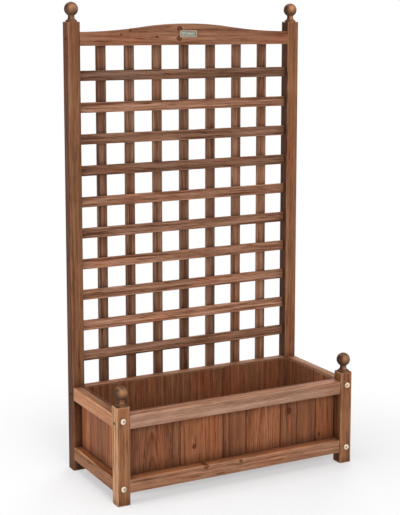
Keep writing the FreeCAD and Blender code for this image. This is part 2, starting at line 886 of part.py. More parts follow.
def make_name_plate():
    """A blank plate: a shallow tray with an ear for a pin at each end."""
    ear = size["plate_ear_width"]
    tall = size["plate_height"]
    ear_low = (tall - size["plate_ear_height"]) / 2
    ear_high = (tall + size["plate_ear_height"]) / 2
    right = ear + size["plate_width"]
    whole = right + ear
    corners = [
        (0, ear_low), (ear, ear_low), (ear, 0), (right, 0), (right, ear_low), (whole, ear_low),
        (whole, ear_high), (right, ear_high), (right, tall), (ear, tall), (ear, ear_high),
        (0, ear_high),
    ]
    thickness = size["plate_thickness"]
    corner = (-whole / 2, rear_rail_face - thickness, arch_base + size["plate_rise"])
    body = new_body("name_plate", corner)
    sketch = new_sketch(body, "Outline", "y", 0)
    outline(sketch, corners)
    stock = pad(body, sketch, "y", thickness)
    ease_long_edges(body, stock, "y", size["plate_corner"])
    tray = new_sketch(body, "Tray", "y", 0)
    rim = size["plate_rim"]
    low, high = ear + rim, right - rim
    outline(tray, [(low, rim), (high, rim), (high, tall - rim), (low, tall - rim)])
    pocket(body, tray, "y", 1, size["plate_recess"])
    pins = [(x, tall / 2) for x in (ear / 2, whole - ear / 2)]
    drill(body, "PinHoles", "y", 0, 1, pins, size["pin_diameter"])


# ---------------------------------------------------------------------------------------
# Fasteners: each kind is one node of like, separate solids
# ---------------------------------------------------------------------------------------


def rod(diameter, length, start, along):
    """A round rod from a point, along a direction."""
    return Part.makeCylinder(diameter / 2, length, start, along)


def rims(solid, centre=None):
    """The circular edges of a solid: all of them, or those round one centre."""
    circles = [edge for edge in solid.Edges if isinstance(edge.Curve, Part.Circle)]
    if centre is None:
        return circles
    return [edge for edge in circles if (edge.Curve.Center - centre).Length < 1e-6]


def group(label, solids):
    node = document.addObject("Part::Feature", label)
    node.Label = label
    node.Shape = Part.makeCompound(solids)
    node.Placement = Placement(Vector(0, 0, 0), Rotation())
    nodes.append(node)


def bolt(seat, along):
    """A flat-headed bolt with a hexagonal socket; its head seats at a point."""
    head_height = size["bolt_head_height"].value
    crown = seat - along * head_height
    head = rod(size["bolt_head_diameter"].value, head_height, crown, along)
    head = head.makeChamfer(size["bolt_head_bevel"].value, rims(head, crown))
    shank_length = (post + size["insert_length"]).value
    shank = rod(size["bolt_diameter"].value, shank_length, seat, along)
    radius = size["bolt_socket"].value / math.sqrt(3)
    upward = DIRECTIONS["z"]
    sideways = along.cross(upward)
    corners = []
    for turn in range(7):
        angle = math.radians(60 * turn)
        offset = sideways * math.cos(angle) + upward * math.sin(angle)
        corners.append(crown + offset * radius)
    hexagon = Part.Face(Part.makePolygon(corners))
    socket = hexagon.extrude(along * size["bolt_socket_depth"].value)
    return head.fuse(shank).removeSplitter().cut(socket)


def post_points(level):
    """The front and rear bolt points at a level: place on the post face, and way in."""
    points = []
    for sign in SIDES.values():
        x = sign * (half_width - size["bolt_inset"]).value
        points.append((Vector(x, -half_depth.value, level.value), Vector(0, 1, 0)))
        points.append((Vector(x, half_depth.value, level.value), Vector(0, -1, 0)))
    return points


def make_bolts():
    group(
        "connector_bolts",
        [bolt(place, way) for level in bolt_levels.values() for place, way in post_points(level)],
    )


def make_inserts():
    solids = []
    outer, bore = size["insert_diameter"].value, size["bolt_diameter"].value
    length = size["insert_length"].value
    for level in bolt_levels.values():
        for place, way in post_points(level):
            start = place + way * post.value
            solids.append(rod(outer, length, start, way).cut(rod(bore, length, start, way)))
    group("threaded_inserts", solids)


def dowel(middle, along):
    half = size["dowel_depth"].value
    pin = rod(size["dowel_diameter"].value, 2 * half, middle - along * half, along)
    return pin.makeChamfer(size["dowel_chamfer"].value, rims(pin))


def make_dowels():
    solids = []
    across, back, up = DIRECTIONS["x"], DIRECTIONS["y"], DIRECTIONS["z"]
    inner_x = (half_width - post).value
    rail_x = (half_width - size["rail_recess"] - size["rail_thickness"] / 2).value
    post_x = (half_width - post / 2).value
    for sign in SIDES.values():
        for row in (front_rail_middle, rear_rail_middle):
            for level in dowel_levels.values():
                for y, z in pair_of_dowels(row, level):
                    solids.append(dowel(Vector(sign * inner_x, y.value, z.value), across))
        for y, z in arch_dowels(rear_rail_middle, arch_middle):
            solids.append(dowel(Vector(sign * inner_x, y.value, z.value), across))
        for level in dowel_levels.values():
            for row in (-half_depth + post, half_depth - post):
                solids.append(dowel(Vector(sign * rail_x, row.value, level.value), back))
        for row, height in ((-1, size["front_post_height"]), (1, size["rear_post_height"])):
            y = row * (half_depth - post / 2).value
            solids.append(dowel(Vector(sign * post_x, y, height.value), up))
    group("wood_dowels", solids)


def screw(seat, along):
    """A pan-headed wood screw whose head seats at a point."""
    head = rod(
        size["screw_head_diameter"].value, size["screw_head_height"].value,
        seat - along * size["screw_head_height"].value, along,
    )
    shank = rod(size["screw_diameter"].value, size["screw_length"].value, seat, along)
    return head.fuse(shank).removeSplitter()


def make_screws():
    solids = []
    front_row, rear_row = front_rail_middle.value, rear_rail_middle.value
    seat_x = (half_width - size["screw_counterbore_depth"]).value
    for sign in SIDES.values():
        for y, level in ((front_row, screw_level), (rear_row, screw_level), (rear_row, arch_middle)):
            solids.append(screw(Vector(sign * seat_x, y, level.value), Vector(-sign, 0, 0)))
    height = (cleat_base + size["cleat_side"] / 2).value
    depth = size["cleat_side"] - size["screw_head_height"]
    for end, y, way in (("front", trough_front + depth, -1), ("rear", trough_rear - depth, 1)):
        for place in cleat_screw_places(end):
            x = (place - half_width + post).value
            solids.append(screw(Vector(x, y.value, height), Vector(0, way, 0)))
    group("wood_screws", solids)


def make_brads():
    length, diameter = size["brad_length"].value, size["brad_diameter"].value
    left = (-half_width + post).value
    front = (-half_depth + post).value
    solids = []

    def drive(x, y, z, way):
        solids.append(rod(diameter, length, Vector(x, y, z), way))

    slat_back = (upright_face + size["slat_thickness"]).value
    slat_levels = [crossing_middle(row) for row in range(CROSSINGS)]
    slat_levels += [top_rail_middle, arch_base + arch_brad_rise]
    for column in range(UPRIGHTS):
        for level in slat_levels:
            drive(left + upright_middle(column).value, slat_back, level.value, Vector(0, -1, 0))
    for level in rail_middles.values():
        z = level.value
        for end, y, way in (("front", trough_front, -1), ("rear", trough_rear, 1)):
            for place in brad_places(end):
                drive(left + place.value, y.value, z, Vector(0, way, 0))
        for sign in SIDES.values():
            inner = sign * (half_width - plank_face - size["plank_thickness"]).value
            for place in brad_places("side"):
                drive(inner, front + place.value, z, Vector(sign, 0, 0))
    floor_top = (floor_base + size["floor_thickness"]).value
    cleat_line = (size["cleat_side"] / 2).value
    for column in floor_brad_columns():
        for y in (trough_front.value + cleat_line, trough_rear.value - cleat_line):
            drive(left + column.value, y, floor_top, Vector(0, 0, -1))
    group("brads", solids)


def make_plate_pins():
    solids = []
    face = (rear_rail_face - size["plate_thickness"]).value
    back = DIRECTIONS["y"]
    for sign in SIDES.values():
        place = Vector(sign * pin_offset.value, face, (arch_base + plate_middle).value)
        height = size["pin_head_height"].value
        crown = place - back * height
        head = rod(size["pin_head_diameter"].value, height, crown, back)
        head = head.makeFillet(size["pin_head_rounding"].value, rims(head, crown))
        shank = rod(size["pin_diameter"].value, size["pin_length"].value, place, back)
        solids.append(head.fuse(shank).removeSplitter())
    group("plate_pins", solids)


# ---------------------------------------------------------------------------------------
# The whole planter
# ---------------------------------------------------------------------------------------

for end in ("front", "rear"):
    for side in SIDES:
        make_post(end, side)
        make_finial(end, side)
    for level in rail_bases:
        make_cross_rail(end, level)
for side in SIDES:
    for level in rail_bases:
        make_side_rail(side, level)
make_arch_rail()
for number in range(UPRIGHTS):
    make_upright(number)
for number in range(CROSSINGS):
    make_crossing(number)

wall_left = -half_width + post
wall_front = -half_depth + post
right_face = half_width - plank_face - size["plank_thickness"]
make_planks("front", (wall_left, front_plank_face - half_depth), "x", False)
make_planks("left", (plank_face - half_width, wall_front), "y", False)
make_planks("right", (right_face, wall_front), "y", True)
make_rear_board()
for end in ("front", "rear"):
    make_cleat(end)
for number in range(FLOOR_BOARDS):
    make_floor_board(number)
make_name_plate()
document.recompute()

make_bolts()
make_inserts()
make_dowels()
make_screws()
make_brads()
make_plate_pins()
document.recompute()


def check_document():
    """Stop if anything failed to build."""
    for item in document.Objects:
        if "Invalid" in item.State or "Error" in item.State:
            raise RuntimeError("%s failed: %s" % (item.Label, item.State))
    for node in nodes:
        shape = node.Shape
        if shape.isNull() or not shape.isValid() or not shape.Solids:
            raise RuntimeError("%s has no valid solid" % node.Label)


check_document()
os.makedirs("parts", exist_ok=True)
for node in nodes:
    node.Shape.exportStep("parts/%s.step" % node.Label)
print("%d nodes" % len(nodes))
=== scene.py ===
"""Planter with trellis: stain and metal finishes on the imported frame, and a studio stage."""

import math
import random
from dataclasses import dataclass

import bpy
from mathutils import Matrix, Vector


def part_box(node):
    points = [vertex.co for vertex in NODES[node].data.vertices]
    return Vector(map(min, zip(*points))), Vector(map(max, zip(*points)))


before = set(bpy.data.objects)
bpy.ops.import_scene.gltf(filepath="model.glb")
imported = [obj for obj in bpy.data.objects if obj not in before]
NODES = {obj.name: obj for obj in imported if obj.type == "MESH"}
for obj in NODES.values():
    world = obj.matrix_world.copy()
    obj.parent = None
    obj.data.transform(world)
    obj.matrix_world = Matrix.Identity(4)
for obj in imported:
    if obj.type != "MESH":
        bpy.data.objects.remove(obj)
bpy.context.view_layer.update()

bl_info = {
    "name": "Planter with trellis",
    "version": (1, 0, 0),
    "blender": (4, 5, 0),
    "location": "3D View > Sidebar > Planter",
    "description": "Stains the wood of a trellis planter, finishes its metal and sets its stage",
    "category": "Object",
}

SOFT_BOXES = {  # place and width of each lamp
    "front_light": ((-0.5, -3.3, 1.7), 1.6),
    "left_light": ((-3.0, 0.1, 0.55), 1.0),
    "top_light": ((-0.2, 0.2, 3.6), 2.6),
    "fill_light": ((2.6, 2.9, 1.8), 2.0),
}
AIM = Vector((0.0, 0.0, 0.5))  # what the soft boxes face
FLOOR_FADE = (0.45, 1.0)  # how far from the middle the floor starts to turn white, and is white
EULER = 2.718
MIX_FACTOR, MIX_FIRST, MIX_SECOND, MIX_RESULT = 0, 6, 7, 2  # a mix node's sockets for colours


def linear(red, green, blue):
    """A colour as a paint chart gives it, 0 to 255, in Blender's linear values."""

    def curve(value):
        value /= 255
        return value / 12.92 if value <= 0.04045 else ((value + 0.055) / 1.055) ** 2.4

    return (curve(red), curve(green), curve(blue))


# ---------------------------------------------------------------------------------------
# Shader maths
# ---------------------------------------------------------------------------------------


class Wire:
    """A socket of a node tree that takes part in Python expressions."""

    def __init__(self, tree, socket):
        self.tree = tree
        self.socket = socket

    def maths(self, operation, *values):
        return self.tree.node("ShaderNodeMath", {"operation": operation}, values)

    def __add__(self, other):
        return self.maths("ADD", self, other)

    def __radd__(self, other):
        return self.maths("ADD", other, self)

    def __sub__(self, other):
        return self.maths("SUBTRACT", self, other)

    def __rsub__(self, other):
        return self.maths("SUBTRACT", other, self)

    def __mul__(self, other):
        return self.maths("MULTIPLY", self, other)

    def __rmul__(self, other):
        return self.maths("MULTIPLY", other, self)

    def __truediv__(self, other):
        return self.maths("DIVIDE", self, other)

    def __rtruediv__(self, other):
        return self.maths("DIVIDE", other, self)

    def __pow__(self, other):
        return self.maths("POWER", self, other)

    def __rpow__(self, other):
        return self.maths("POWER", other, self)

    def __abs__(self):
        return self.maths("ABSOLUTE", self)

    def least(self, other):
        return self.maths("MINIMUM", self, other)

    def most(self, other):
        return self.maths("MAXIMUM", self, other)

    def fraction(self):
        return self.maths("FRACT", self)

    def root(self):
        return self.maths("SQRT", self)

    def rise(self, low, high):
        """0 below low, 1 above high, and a smooth step between them."""
        settings = {"interpolation_type": "SMOOTHSTEP"}
        sockets = {"Value": self, "From Min": low, "From Max": high}
        return self.tree.node("ShaderNodeMapRange", settings, sockets)


class Tree:
    """A node tree and the few calls that its nodes are made with."""

    def __init__(self, owner, output):
        owner.use_nodes = True
        self.owner = owner
        self.nodes = owner.node_tree.nodes
        self.links = owner.node_tree.links
        self.nodes.clear()
        self.output = self.nodes.new(output)

    def node(self, kind, settings=None, sockets=(), output=0):
        """Add a node, set it up, then give its sockets values or links."""
        made = self.nodes.new(kind)
        for name, value in (settings or {}).items():
            setattr(made, name, value)
        pairs = sockets.items() if isinstance(sockets, dict) else enumerate(sockets)
        for key, value in pairs:
            socket = made.inputs[key]
            if isinstance(value, Wire):
                self.links.new(value.socket, socket)
            elif socket.type == "RGBA":
                socket.default_value = (*value, 1.0)
            else:
                socket.default_value = value
        return Wire(self, made.outputs[output])

    def close(self, shader):
        """Let a shader be what the tree gives, and hand back the tree's owner."""
        self.links.new(shader.socket, self.output.inputs["Surface"])
        return self.owner

    def shows_white(self):
        """1 for the rays on which the surroundings and the floor further off are white."""
        camera, glossy, passing = (
            self.node("ShaderNodeLightPath", output="Is %s Ray" % ray)
            for ray in ("Camera", "Glossy", "Transmission")
        )
        return camera.most(glossy).most(passing)


class Finish(Tree):
    """A material's node tree."""

    def __init__(self, name):
        super().__init__(bpy.data.materials.new(name), "ShaderNodeOutputMaterial")

    def parts(self, vector):
        """A vector as three numbers."""
        return [self.node("ShaderNodeSeparateXYZ", None, [vector], axis) for axis in range(3)]

    def place(self):
        """The point being shaded, in the row frame, as three numbers."""
        return self.parts(self.node("ShaderNodeTexCoord", output="Object"))

    def noise(self, x, y, z, detail=2.0, roughness=0.5):
        """Cloudy values from 0 to 1, one cloud to each unit of the three numbers."""
        vector = self.node("ShaderNodeCombineXYZ", None, [x, y, z])
        sockets = {"Vector": vector, "Scale": 1.0, "Detail": detail, "Roughness": roughness}
        return self.node("ShaderNodeTexNoise", None, sockets)

    def mix(self, factor, first, second, blend="MIX"):
        """Two colours, blended."""
        settings = {"data_type": "RGBA", "blend_type": blend}
        sockets = {MIX_FACTOR: factor, MIX_FIRST: first, MIX_SECOND: second}
        return self.node("ShaderNodeMix", settings, sockets, MIX_RESULT)

    def bump(self, height, depth):
        """Relief from a height of 0 to 1 that stands for a depth in metres."""
        sockets = {"Height": height, "Distance": depth, "Strength": 1.0}
        return self.node("ShaderNodeBump", None, sockets)

    def surface(self, **sockets):
        """Close the material with a principled shader."""
        named = {key.replace("_", " "): value for key, value in sockets.items()}
        return self.close(self.node("ShaderNodeBsdfPrincipled", None, named))


def paint(node, material):
    """Put a finish on a CAD node, in place of what it came with."""
    slots = NODES[node].data.materials
    slots.clear()
    slots.append(material)
    for polygon in NODES[node].data.polygons:
        polygon.material_index = 0


# ---------------------------------------------------------------------------------------
# Wood
# ---------------------------------------------------------------------------------------

# shades of a piece's own stain, as shares of its red, green and blue
DEEP_GRAIN = (0.36, 0.25, 0.18)
PALE_GRAIN = (1.58, 1.76, 2.0)
BLUSH = (1.10, 0.88, 0.76)
FLAME = (1.75, 1.55, 1.35)
KNOT_HEART = (0.50, 0.32, 0.22)
KNOT_RIM = (0.20, 0.12, 0.08)
CUT_END = (0.45, 0.38, 0.34)
# dark of the joints, and of the dirt and painted shade in corners and recesses
GRIME_AND_SHADE = (0.20, 0.15, 0.12)

KNOT_REACH = 3.2  # how far along a knot bends the grain, in its radii
JOINT_LINE = (0.0006, 0.0018)  # how far from a joint its dark line starts to fade, and ends
WEAR_SHARE = 0.13  # of a piece's least side, the most that wear reaches
GRAINS = {  # along, across, through
    "x": (0, 2, 1),  # rails and crossing slats
    "y": (1, 2, 0),  # side rails
    "y flat": (1, 0, 2),  # floor boards
    "z": (2, 0, 1),  # posts, uprights, front and rear planks
    "z side": (2, 1, 0),  # side planks
}


@dataclass
class Timber:
    """What sets one piece of stained wood apart from the next."""

    grain: str  # a key of GRAINS
    colour: tuple
    tone: float = 1.0  # brightness
    red: float = 1.0  # warmth
    figure: float = 1.0  # how strongly the rings and streaks show
    knots: tuple = ()  # places along and across, and a radius, in metres
    flames: tuple = ()  # pale streaks: a place along and across, half a length and a width
    flat: bool = False  # sawn along the rings, which then run in long arches
    left: tuple = None  # painted light and shade: a tint of the faces that look left, if they have one
    upper: tuple = None  # painted light and shade: a tint of the faces that look up, if they have one
    wear: float = 1.0  # how strongly the edges are rubbed
    turned: bool = False  # made on a lathe: its tint of the faces that look up also shows as a painted highlight on the faces to the front and behind
    seams: tuple = ()  # places across where it meets a neighbour


def scaled(colour, shares):
    """A colour with its parts made stronger or weaker."""
    return tuple(part * share for part, share in zip(colour, shares))


class Stain:
    """The stain of one piece of softwood, with its painted light and shade, made step by step."""

    def __init__(self, node, timber, settings):
        self.timber = timber
        self.settings = settings
        self.finish = Finish(node + "_wood")
        self.low, self.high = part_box(node)
        self.middle = (self.low + self.high) / 2
        self.point = self.finish.place()
        self.axes = GRAINS[timber.grain]
        self.along, self.across, self.through = (
            self.point[axis] - self.middle[axis] for axis in self.axes
        )
        self.draw = random.Random(node)
        self.shift = [self.draw.uniform(-40, 40) for _ in range(9)]
        tone, red = timber.tone, timber.red
        self.colour = scaled(timber.colour, (tone * red, tone, tone / red))

    def from_middle(self, along, across):
        """A place along and across in the row frame, from the piece's middle."""
        return along - self.middle[self.axes[0]], across - self.middle[self.axes[1]]

    def clouds(self, number, long, wide, detail=2.0, roughness=0.5):
        """Noise with so many clouds to a metre along the grain, and so many across it."""
        along = self.along * long + self.shift[number]
        return self.finish.noise(
            along, self.across * wide, self.through * wide, detail, roughness
        )

    def knot_marks(self):
        """How far knots push the grain aside, where their cores are, and their dark rims."""
        bulge, core, rim = 0.0, None, None
        for place, level, radius in self.timber.knots:
            place, level = self.from_middle(place, level)
            near = (self.along - place) / (radius * KNOT_REACH)
            side = (self.across - level) / radius
            pull = EULER ** ((near * near + side * side * 0.35) * -1.0)
            bulge = side * pull * (radius * -0.75) + bulge
            spot = near * 2.7
            away = (spot * spot + side * side).root()
            disc = 1.0 - away.rise(0.80, 1.05)
            edge = away.rise(0.50, 0.85)
            core = disc if core is None else core.most(disc)
            rim = edge if rim is None else rim.least(edge)
        return bulge, core, rim

    def bent_places(self, bulge):
        """Places across and through, from a pith outside the piece that the rings lie round."""
        draw = self.draw
        if self.timber.flat:
            pith = (draw.uniform(-0.012, 0.012), draw.choice([-1, 1]) * draw.uniform(0.035, 0.05))
            lean = draw.choice([-1, 1]) * draw.uniform(0.03, 0.06)
        else:
            pith = (draw.choice([-1, 1]) * draw.uniform(0.06, 0.11), draw.uniform(-0.04, 0.04))
            lean = draw.uniform(-0.01, 0.01)
        tilt = draw.uniform(-0.018, 0.018)
        wander = self.clouds(0, 1.8, 7.0, 1.0) - 0.5
        ripple = self.clouds(1, 10.0, 34.0) - 0.5
        u = self.across + bulge - pith[0] + self.along * tilt + wander * 0.008 + ripple * 0.0018
        v = self.through - pith[1] + self.along * lean + wander * 0.005
        return u, v

    def bent(self, number, long, wide, places, detail, roughness=0.5):
        """Noise that follows the bent grain."""
        u, v = places
        along = self.along * long + self.shift[number]
        return self.finish.noise(along, u * wide, v * wide, detail, roughness)

    def flames(self, shade):
        """Pale streaks."""
        for place, level, long, wide in self.timber.flames:
            place, level = self.from_middle(place, level)
            near = (self.along - place) / long
            side = (self.across - level) / wide
            glow = 1.0 - (near * near + side * side).root().rise(0.2, 1.0)
            shade = self.finish.mix(glow * 0.7, shade, scaled(self.colour, FLAME))
        return shade

    def knots(self, shade, core, rim):
        """Brown knots with dark rims."""
        if core is None:
            return shade
        heart = self.finish.noise(
            self.along * 260.0, self.across * 260.0, self.through * 260.0
        ) * 0.5
        brown, dark = scaled(self.colour, KNOT_HEART), scaled(self.colour, KNOT_RIM)
        knot = self.finish.mix(heart + rim * 0.7, brown, dark)
        return self.finish.mix(core * 0.9, shade, knot)

    def faces(self, shade):
        """The painted light and shade on faces that look left and up, and the cut ends, which
        drink the most stain.
        """
        finish, timber = self.finish, self.timber
        normal = finish.node("ShaderNodeNewGeometry", output="Normal")
        facing = finish.parts(normal)
        # painted light and shade: faces that look left are tinted, paler on some pieces and darker
        # on others
        if timber.left:
            shade = finish.mix(facing[0].rise(-0.3, -0.95), shade, timber.left, "MULTIPLY")
        # painted light and shade on the faces that look up; on turned pieces, a painted highlight
        # on the faces to the front and behind
        if timber.upper:
            painted_light_mask = facing[2].rise(0.6, 0.9)
            if timber.turned:
                painted_highlight_mask = facing[2].rise(-0.6, 0.5) * abs(facing[1]).rise(0.42, 0.97)
                painted_light_mask = painted_highlight_mask.most(painted_light_mask * 0.5)
            shade = finish.mix(painted_light_mask, shade, timber.upper, "MULTIPLY")
        end_face = abs(facing[self.axes[0]]).rise(0.75, 0.95)
        shade = finish.mix(end_face * 0.6, shade, scaled(self.colour, CUT_END))
        return shade, end_face

    def grime_and_shade(self, shade):
        """Grime and painted shade, darker in corners, recesses and joints."""
        reach = {"Distance": self.settings.grime_and_shade_reach}
        # painted shade: ambient occlusion darkens corners, recesses and joints
        corner = self.finish.node("ShaderNodeAmbientOcclusion", {"samples": 6}, reach, "AO")
        amount = (1.0 - corner) * self.settings.grime_and_shade_strength
        return self.finish.mix(amount, shade, scaled(self.colour, GRIME_AND_SHADE))

    def worn_edges(self, shade):
        """Rubbed edges, where paler wood shows."""
        point, low, high = self.point, self.low, self.high
        a, b, c = ((point[axis] - low[axis]).least(high[axis] - point[axis]) for axis in range(3))
        middle_one = a.least(b).most(a.most(b).least(c))  # small near an edge of the box
        rub = self.clouds(0, 26.0, 150.0)
        reach = min(self.settings.wear_width, min(high - low) * WEAR_SHARE)
        wear = (1.0 - middle_one.rise(0.0, reach)) * rub.rise(0.34, 0.60)
        strength = self.settings.wear_strength * self.timber.wear
        return self.finish.mix(wear * strength, shade, self.settings.bare_wood)

    def joints(self, shade):
        """Dark lines between boards."""
        for place in self.timber.seams:
            away = abs(self.across - self.from_middle(0.0, place)[1])
            line = 1.0 - away.rise(*JOINT_LINE)
            shade = self.finish.mix(line * 0.8, shade, scaled(self.colour, GRIME_AND_SHADE))
        return shade

    def material(self):
        """The grain and the uneven stain, then knots, painted light and shade on single faces,
        dirt with painted shade in corners, wear and joints.
        """
        finish, settings, figure = self.finish, self.settings, self.timber.figure
        bulge, core, rim = self.knot_marks()
        places = self.bent_places(bulge)
        radius = (places[0] * places[0] + places[1] * places[1]).root()
        ring = (radius / settings.ring_spacing + self.shift[2]).fraction()
        late = ring.rise(0.30, 0.86) * (1.0 - ring.rise(0.90, 1.0))
        years = finish.noise(radius * 85.0 + self.shift[3], self.along * 0.7, 0.0, 3.0, 0.65)
        streak = self.bent(4, 4.5, 130.0, places, 3.0, 0.72)
        fibre = self.bent(5, 45.0, 800.0, places, 2.0, 0.6)
        check = self.bent(6, 14.0, 280.0, places, 1.0).rise(0.60, 0.74)
        cloud = self.clouds(7, 9.0, 30.0, 4.0, 0.65)
        blush = self.clouds(8, 3.0, 12.0)

        light = 0.58 - late * (years + 0.35) * (settings.ring_strength * figure)
        light = light + (years - 0.5) * (settings.streak_strength * figure)
        light = light + (streak - 0.5) * (settings.streak_strength * figure)
        light = light + (fibre - 0.5) * settings.fibre_strength
        light = light + (cloud - 0.5) * settings.cloud_strength
        light = light - check * (settings.check_strength * figure)

        shade = finish.mix(light * 2.0, scaled(self.colour, DEEP_GRAIN), self.colour)
        shade = finish.mix(light * 2.0 - 1.0, shade, scaled(self.colour, PALE_GRAIN))
        shade = finish.mix(blush.rise(0.50, 0.70) * 0.7, shade, BLUSH, "MULTIPLY")
        shade = self.knots(self.flames(shade), core, rim)
        shade, end_face = self.faces(shade)
        shade = self.joints(self.worn_edges(self.grime_and_shade(shade)))

        height = late * 0.5 + fibre * 0.5 + streak * 0.35 - check * 0.5
        return finish.surface(
            Base_Color=shade,
            Roughness=0.58 + late * 0.08 + fibre * 0.14 + end_face * 0.15,
            Specular_IOR_Level=settings.sheen,
            Normal=finish.bump(height, settings.grain_depth),
        )


def stain_pieces(wood, timbers):
    """Stain each CAD node as its timber says."""
    for node, timber in timbers.items():
        paint(node, Stain(node, timber, wood).material())
    return {"FINISHED"}


# ---------------------------------------------------------------------------------------
# Metal
# ---------------------------------------------------------------------------------------

# shares of a metal's own red, green and blue
# dark of the dirt, and of the painted shade in the bolts' sockets and round their rims
METAL_GRIME_AND_SHADE = (0.16, 0.11, 0.08)
BRIGHT_PATINA = (1.75, 1.85, 1.8)
BORDER_GRIME = (0.22, 0.18, 0.14)

BOLT_ROWS = (0.0445, 0.222)  # heights of the bolts
PLATE_EAR = 0.006  # length of the name plate's ears
PLATE_RIM = (0.0017, 0.0023)  # where its rim ends and its tray begins, from the outer edge
PLATE_BORDER = (0.0028, 0.0050)  # where the dirt along the rim fades out


def worn_metal(name, colour, roughness, dirt, marks=None):
    """Plated metal with faint scratches, dirt in patches, and painted shade where marks says."""
    finish = Finish(name)
    x, y, z = finish.place()
    grime_and_shade = finish.noise(x * 220.0, y * 220.0, z * 220.0, 3.0, 0.6).rise(0.42, 0.72) * dirt
    if marks:
        # painted shade where marks says
        grime_and_shade = grime_and_shade.most(marks(x, y, z))
    scratch = finish.noise(x * 2600.0, y * 400.0, z * 2600.0, 2.0, 0.6)
    tint = finish.mix(grime_and_shade, colour, scaled(colour, METAL_GRIME_AND_SHADE))
    return finish.surface(
        Base_Color=tint,
        Metallic=1.0 - grime_and_shade * 0.8,
        Roughness=scratch * 0.16 + grime_and_shade * 0.3 + (roughness - 0.08),
        Normal=finish.bump(scratch, 0.00006),
    )


def bolt_shade(x, y, z):
    """Painted shade in the socket and round the rim of each bolt head."""
    low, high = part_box("front_left_post")
    column = -(low.x + high.x) / 2
    aside = abs(x) - column
    above = abs(z - BOLT_ROWS[0]).least(abs(z - BOLT_ROWS[1]))
    radius = (aside * aside + above * above).root()
    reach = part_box("connector_bolts")[1].x - column
    socket = 1.0 - radius.rise(reach * 0.38, reach * 0.52)
    rim = radius.rise(reach * 0.84, reach)
    return (socket * 0.6).most(rim * 0.85)


def dull_plate(settings):
    """The blank name plate: a rubbed rim, and a mottled tray with dirt along its border."""
    finish = Finish("plate_pewter")
    x, y, z = finish.place()
    low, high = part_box("name_plate")
    middle = (low + high) / 2
    half = (high - low) / 2
    aside = (half.x - PLATE_EAR) - abs(x - middle.x)
    above = half.z - abs(z - middle.z)
    inside = aside.least(above)
    rim = 1.0 - inside.rise(*PLATE_RIM)
    border = (1.0 - rim) * (1.0 - inside.rise(*PLATE_BORDER))
    patina = finish.noise(x * 140.0, y * 140.0, z * 260.0, 3.0, 0.6)
    brushed = finish.noise(x * 260.0, y * 2600.0, z * 2600.0, 2.0, 0.6)
    bright = scaled(settings.plate, BRIGHT_PATINA)
    tray = finish.mix(patina.rise(0.38, 0.66), settings.plate, bright)
    tray = finish.mix(border * 0.8, tray, scaled(settings.plate, BORDER_GRIME))
    tint = finish.mix(rim, tray, settings.plate_rim)
    tint = finish.mix(aside.rise(0.0, -0.0008), tint, settings.pins)
    return finish.surface(
        Base_Color=tint,
        Metallic=0.85 - border * 0.4,
        Roughness=brushed * 0.14 + border * 0.2 + 0.34,
        Normal=finish.bump(brushed, 0.00005),
    )


# ---------------------------------------------------------------------------------------
# Sizes and colours
# ---------------------------------------------------------------------------------------


def colour_property(name, description, default):
    """A colour, as linear values."""
    return bpy.props.FloatVectorProperty(
        name=name, description=description, default=default, subtype="COLOR",
        size=3, min=0.0, max=1.0,
    )


def length_property(name, description, default, precision=4):
    """A length in metres."""
    return bpy.props.FloatProperty(
        name=name, description=description, default=default, unit="LENGTH", min=0.0,
        precision=precision,
    )


def share_property(name, description, default, top=1.0):
    """A strength from 0 up to a top."""
    return bpy.props.FloatProperty(
        name=name, description=description, default=default, subtype="FACTOR", min=0.0, max=top
    )


def power_property(name, description, default):
    """A lamp's power in watts."""
    return bpy.props.FloatProperty(
        name=name, description=description, default=default, unit="POWER"
    )


def angle_property(name, description, degrees):
    """An angle, given in degrees."""
    return bpy.props.FloatProperty(
        name=name, description=description, default=math.radians(degrees), unit="ROTATION"
    )


class WoodSettings(bpy.types.PropertyGroup):
    """Stain colours and the scale of the grain"""

    posts: colour_property("Posts", "Stain of the four posts", linear(136, 91, 61))
    finials: colour_property("Finials", "Stain of the turned finials", linear(142, 98, 69))
    top_rails: colour_property("Top rails", "Stain of the box's top rails", linear(156, 117, 94))
    low_rails: colour_property("Bottom rails", "Stain of the bottom rails", linear(148, 106, 80))
    side_rails: colour_property(
        "Side rails", "Stain of the left and right rails", linear(142, 97, 68)
    )
    arch: colour_property("Arched rail", "Stain of the trellis's top rail", linear(136, 92, 67))
    planks: colour_property("Planks", "Stain of the box's walls", linear(124, 77, 50))
    crossings: colour_property("Crossing slats", "Stain of the front slats", linear(127, 87, 64))
    uprights: colour_property("Upright slats", "Stain of the rear slats", linear(116, 79, 57))
    floor: colour_property("Floor boards", "Stain of the floor and cleats", linear(118, 78, 54))
    bare_wood: colour_property("Bare wood", "Wood that shows at worn edges", linear(200, 158, 120))
    ring_spacing: length_property("Ring spacing", "From one yearly ring to the next", 0.0038)
    wear_width: length_property("Wear width", "How far wear reaches from an edge", 0.0042)
    grain_depth: length_property("Grain depth", "Depth of the grain's relief", 0.00035, 6)
    wear_strength: share_property("Wear", "How pale the edges are rubbed", 0.50)
    ring_strength: share_property("Rings", "How dark the late wood is", 0.30, 2.0)
    streak_strength: share_property("Streaks", "Strength of the long streaks", 1.35, 3.0)
    fibre_strength: share_property("Fibres", "Strength of the fine fibres", 0.60, 2.0)
    cloud_strength: share_property("Clouds", "Unevenness of the stain", 0.66, 2.0)
    check_strength: share_property("Checks", "How dark the fine dark dashes are", 0.36, 2.0)
    # dirt and painted shade in corners, recesses and joints
    grime_and_shade_reach: length_property("Grime reach", "How far grime spreads from a corner", 0.030)
    grime_and_shade_strength: share_property("Grime", "How dark the corners and joints are", 1.1, 2.0)
    sheen: share_property("Sheen", "Specular level of the dried stain", 0.16)


